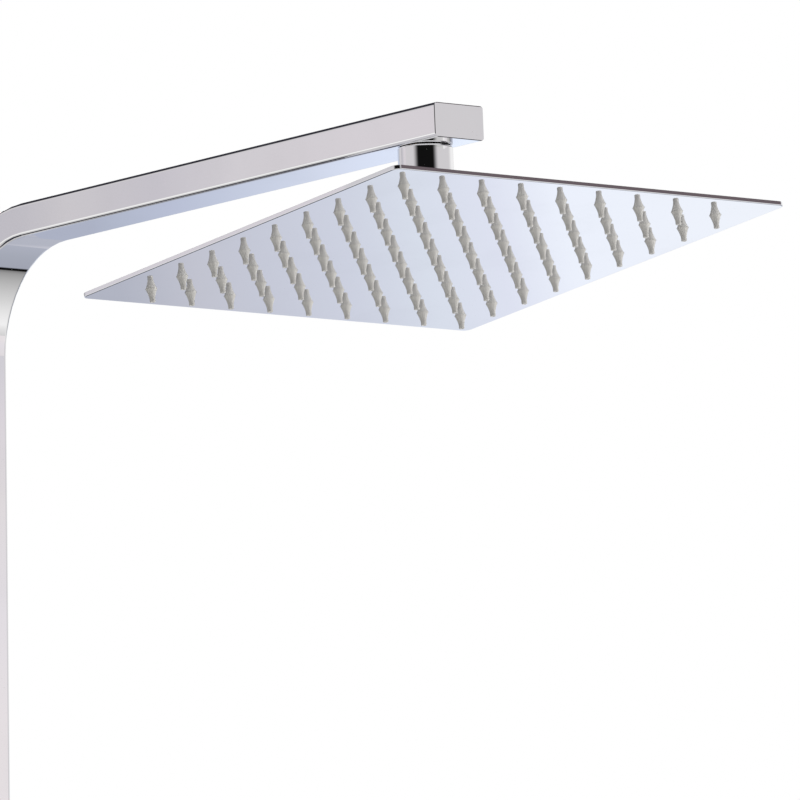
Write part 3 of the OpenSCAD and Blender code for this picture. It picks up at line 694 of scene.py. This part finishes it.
def make_face():
    """The head's face: one sheet with a rolled edge, a folded rim and a hole for every nozzle."""
    place = HEAD @ Matrix.Translation((0, 0, -FACE_BELOW_BALL))
    shape = Shape()
    add_pierced_sheet(shape, ROLL, 0, place)
    add_pierced_sheet(shape, SHEET, SHEET, place)
    # a short row beside each round edge keeps the side's shading flat, and the rim has a small bevel
    hold, crisp = 0.04 * MM, 0.08 * MM
    profile = []
    for k in range(ROLL_STEPS + 1):
        a = math.pi / 2 * k / ROLL_STEPS
        profile.append((ROLL * (1 - math.sin(a)), ROLL * (1 - math.cos(a))))
    profile += [(0, ROLL + hold), (0, HEAD_EDGE - crisp - hold), (0, HEAD_EDGE - crisp),
                (crisp, HEAD_EDGE), (SHEET, HEAD_EDGE), (SHEET, SHEET)]
    shape.rings([[place @ point for point in head_outline(*row)] for row in profile])
    for spot in grid_places():
        shape.rings([[place @ point for point in hole_ring(spot, z)] for z in (0, SHEET)])
    piece = new_piece("rolled_face", shape, SLOT_OF["face_plate"], "rain_head", 30)
    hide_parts("face_plate")


def make_nozzles():
    """The silicone mat with its soft nozzles, every one turned from the same outline."""
    shape = Shape()
    face = HEAD @ Matrix.Translation((0, 0, -FACE_BELOW_BALL))
    low, high = node_box("nozzle_mat")
    half = (high.x - low.x) / 2
    shape.box((-half, -half, SHEET), (half, half, SHEET + MAT_THICK), face)
    for spot in grid_places():
        shape.lathe(nozzle_profile(), face @ Matrix.Translation(spot))
    piece = new_piece("silicone_nozzles", shape, "silicone", "rain_head", 50)
    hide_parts("nozzle_mat")


BALL_RADIUS = 10 * MM
BALL_CUT = 8 * MM
WATER_WAY = 4 * MM
NECK_RADIUS = 6 * MM
SLEEVE_RADIUS = 13.8 * MM
SLEEVE_LOW = 13 * MM
SLEEVE_TOP = 29.3 * MM
SLEEVE_ROUND = 1 * MM
SOCKET_RADIUS = 10.53 * MM
SOCKET_FLOOR = 15.5 * MM
BALL_STEPS = 24
ROUND_STEPS = 6
CONNECTOR_STEPS = 96


def make_connector():
    """The ball connector: its ball, neck and the polished sleeve under the arm."""
    hold, edge = 0.05 * MM, 0.3 * MM
    half = math.asin(BALL_CUT / BALL_RADIUS)
    profile = [(WATER_WAY, -BALL_CUT)]
    for k in range(BALL_STEPS + 1):
        a = -half + 2 * half * k / BALL_STEPS
        profile.append((BALL_RADIUS * math.cos(a), BALL_RADIUS * math.sin(a)))
    profile += [(NECK_RADIUS, SLEEVE_LOW), (SLEEVE_RADIUS - edge, SLEEVE_LOW),
                (SLEEVE_RADIUS, SLEEVE_LOW + edge), (SLEEVE_RADIUS, SLEEVE_LOW + edge + hold),
                (SLEEVE_RADIUS, SLEEVE_TOP - SLEEVE_ROUND - hold)]
    for k in range(ROUND_STEPS + 1):
        a = math.pi / 2 * k / ROUND_STEPS
        profile.append((SLEEVE_RADIUS - SLEEVE_ROUND * (1 - math.cos(a)),
                        SLEEVE_TOP - SLEEVE_ROUND * (1 - math.sin(a))))
    profile += [(SOCKET_RADIUS, SLEEVE_TOP), (SOCKET_RADIUS, SOCKET_FLOOR),
                (WATER_WAY, SOCKET_FLOOR)]
    shape = Shape()
    shape.lathe(profile, ARM, CONNECTOR_STEPS, closed=True)
    piece = new_piece("ball_and_sleeve", shape, SLOT_OF["ball_connector"], BODY_OF["ball_connector"])
    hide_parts("ball_connector")


THREAD_PITCH = 1.814 * MM
THREAD_CREST = 10.46 * MM
THREAD_ROOT = 9.32 * MM
THREAD_FLAT = 1 / 6        # share of the pitch that each crest and each root takes
THREAD_START = 0.6 * THREAD_PITCH        # how long the thread takes to grow, and to run out
THREAD_RUNOUT = 1.2 * THREAD_PITCH
THREAD_ROW = 0.16 * MM
THREAD_STEPS = 72
NIPPLE_LONG = 13 * MM
NIPPLE_BORE = 7 * MM
NIPPLE_CHAMFER = 0.4 * MM
SEAT_RADIUS = 9.4 * MM     # the plain end that sits in the diverter's body
SEAT_LONG = 8.5 * MM
SEAT_CHAMFER = 0.3 * MM


def thread_radius(height, turn, length):
    """Radius of a right-handed pipe thread, fading to its root at both ends."""
    phase = (height / THREAD_PITCH - turn / (2 * math.pi)) % 1.0
    flank = (1 - abs(2 * phase - 1) - THREAD_FLAT) / (1 - 2 * THREAD_FLAT)
    fade = min(height / THREAD_START, (length - height) / THREAD_RUNOUT, 1)
    return THREAD_ROOT + (THREAD_CREST - THREAD_ROOT) * min(max(flank, 0), 1) * max(fade, 0)


def threaded_nipple(name, node, place, length, seat_long=0.0):
    """A hollow nipple: a real thread from height 0 down to -length and a plain seat above."""
    turns = [2 * math.pi * k / THREAD_STEPS for k in range(THREAD_STEPS)]

    def ring(radii, height):
        return [place @ Vector((r * math.cos(a), r * math.sin(a), height)) for a, r in zip(turns, radii)]

    def round_ring(radius, height):
        return ring([radius] * THREAD_STEPS, height)

    rows = int(length / THREAD_ROW)
    rings = []
    for i in range(rows + 1):
        height = length * i / rows
        rings.append(ring([thread_radius(height, a, length) for a in turns], height - length))
    if seat_long:
        rings += [round_ring(SEAT_RADIUS - SEAT_CHAMFER, 0), round_ring(SEAT_RADIUS, SEAT_CHAMFER),
                  round_ring(SEAT_RADIUS, seat_long)]
    rings += [round_ring(NIPPLE_BORE, seat_long), round_ring(NIPPLE_BORE, NIPPLE_CHAMFER - length),
              round_ring(NIPPLE_BORE + NIPPLE_CHAMFER, -length)]
    shape = Shape()
    shape.rings(rings, closed=True)
    piece = new_piece(name, shape, SLOT_OF[node], BODY_OF[node], 60)
    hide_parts(node)


def make_nipples():
    """The three half inch nipples, with their threads."""
    low, high = node_box("inlet_nipple")
    middle = (low + high) / 2
    down = Matrix.Translation((middle.x, middle.y, low.z + NIPPLE_LONG))
    threaded_nipple("inlet_thread_nipple", "inlet_nipple", down, NIPPLE_LONG, SEAT_LONG)
    low, high = node_box("hose_outlet_nipple")
    middle = (low + high) / 2
    out = (Matrix.Translation((high.x - NIPPLE_LONG, middle.y, middle.z))
           @ Matrix.Rotation(deg(-90), 4, "Y"))
    threaded_nipple("hose_thread_nipple", "hose_outlet_nipple", out, NIPPLE_LONG, SEAT_LONG)
    low, high = node_box("arm_nipple")
    axis = ARM.to_3x3() @ Vector((0, 0, 1))
    # the box of a leaning cylinder is longer than the cylinder by its width times its lean
    lean = abs(axis.y)
    length = ((high.z - low.z) - 2 * THREAD_CREST * lean) / axis.z
    top = (low + high) / 2 + axis * (length / 2)
    up = Matrix.Translation(top) @ ARM.to_3x3().to_4x4()
    threaded_nipple("arm_thread_nipple", "arm_nipple", up, length)


SCREEN_RADIUS = NIPPLE_BORE - 0.1 * MM
SCREEN_RIM = 0.8 * MM
SCREEN_STEPS = 48
CONNECTOR_RIM = 0.6 * MM   # height of the rim of the connector's screen
CONNECTOR_WIRE = 0.12 * MM
INLET_WIRE = 0.14 * MM
WIRE_PITCH = 0.9 * MM
WIRE_SIDES = 6
WAVE_STEPS = 4             # rings of points to each wave of a wire, which is two pitches long


def wire_rings(place, way, row, half, wire, height):
    """Rings of points along one waving wire of a screen: way 0 runs along X, and way 1 along Y."""
    points = max(int(half / WIRE_PITCH) * WAVE_STEPS, WAVE_STEPS)
    rings = []
    for k in range(points + 1):
        along = -half + 2 * half * k / points
        centre = height + wire * math.cos(math.pi * (along / WIRE_PITCH + row + way))
        ring = []
        for m in range(WIRE_SIDES):
            a = 2 * math.pi * m / WIRE_SIDES
            beside = row * WIRE_PITCH + wire * math.cos(a)
            x, y = (along, beside) if way == 0 else (beside, along)
            ring.append(place @ Vector((x, y, centre + wire * math.sin(a))))
        rings.append(ring)
    return rings


def make_wire_mesh(name, node, place, wire, rim_height):
    """A round screen of woven wire in a turned rim."""
    shape = Shape()
    inner = SCREEN_RADIUS - SCREEN_RIM
    shape.lathe([(SCREEN_RADIUS, 0), (SCREEN_RADIUS, rim_height), (inner, rim_height), (inner, 0)],
                place, SCREEN_STEPS, closed=True)
    reach = SCREEN_RADIUS - 0.5 * SCREEN_RIM
    count = int(reach / WIRE_PITCH)
    for way in (0, 1):
        for row in range(-count, count + 1):
            half = math.sqrt(reach ** 2 - (row * WIRE_PITCH) ** 2)
            base = shape.rings(wire_rings(place, way, row, half, wire, rim_height / 2))
            last = len(shape.verts) - WIRE_SIDES
            shape.faces.append(tuple(range(base, base + WIRE_SIDES)))
            shape.faces.append(tuple(range(last, last + WIRE_SIDES)))
    piece = new_piece(name, shape, SLOT_OF[node], BODY_OF[node], 50)
    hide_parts(node)


def make_screens():
    """The woven screens in the arm's connector and in the mouth of the inlet."""
    low, high = node_box("filter_screen")
    place = (Matrix.Translation((low + high) / 2) @ ARM.to_3x3().to_4x4()
             @ Matrix.Translation((0, 0, -CONNECTOR_RIM / 2)))
    make_wire_mesh("connector_screen", "filter_screen", place, CONNECTOR_WIRE, CONNECTOR_RIM)
    low, high = node_box("inlet_strainer")
    middle = (low + high) / 2
    place = Matrix.Translation((middle.x, middle.y, low.z))
    make_wire_mesh("inlet_screen", "inlet_strainer", place, INLET_WIRE, high.z - low.z)


for node_name, node_break in EDGE_BREAKS.items():
    break_edges(node_name, node_break)
make_face()
make_nozzles()
make_connector()
make_nipples()
make_screens()

# ---------------------------------------------------------------- output

bpy.context.scene.view_settings.view_transform = "Standard"
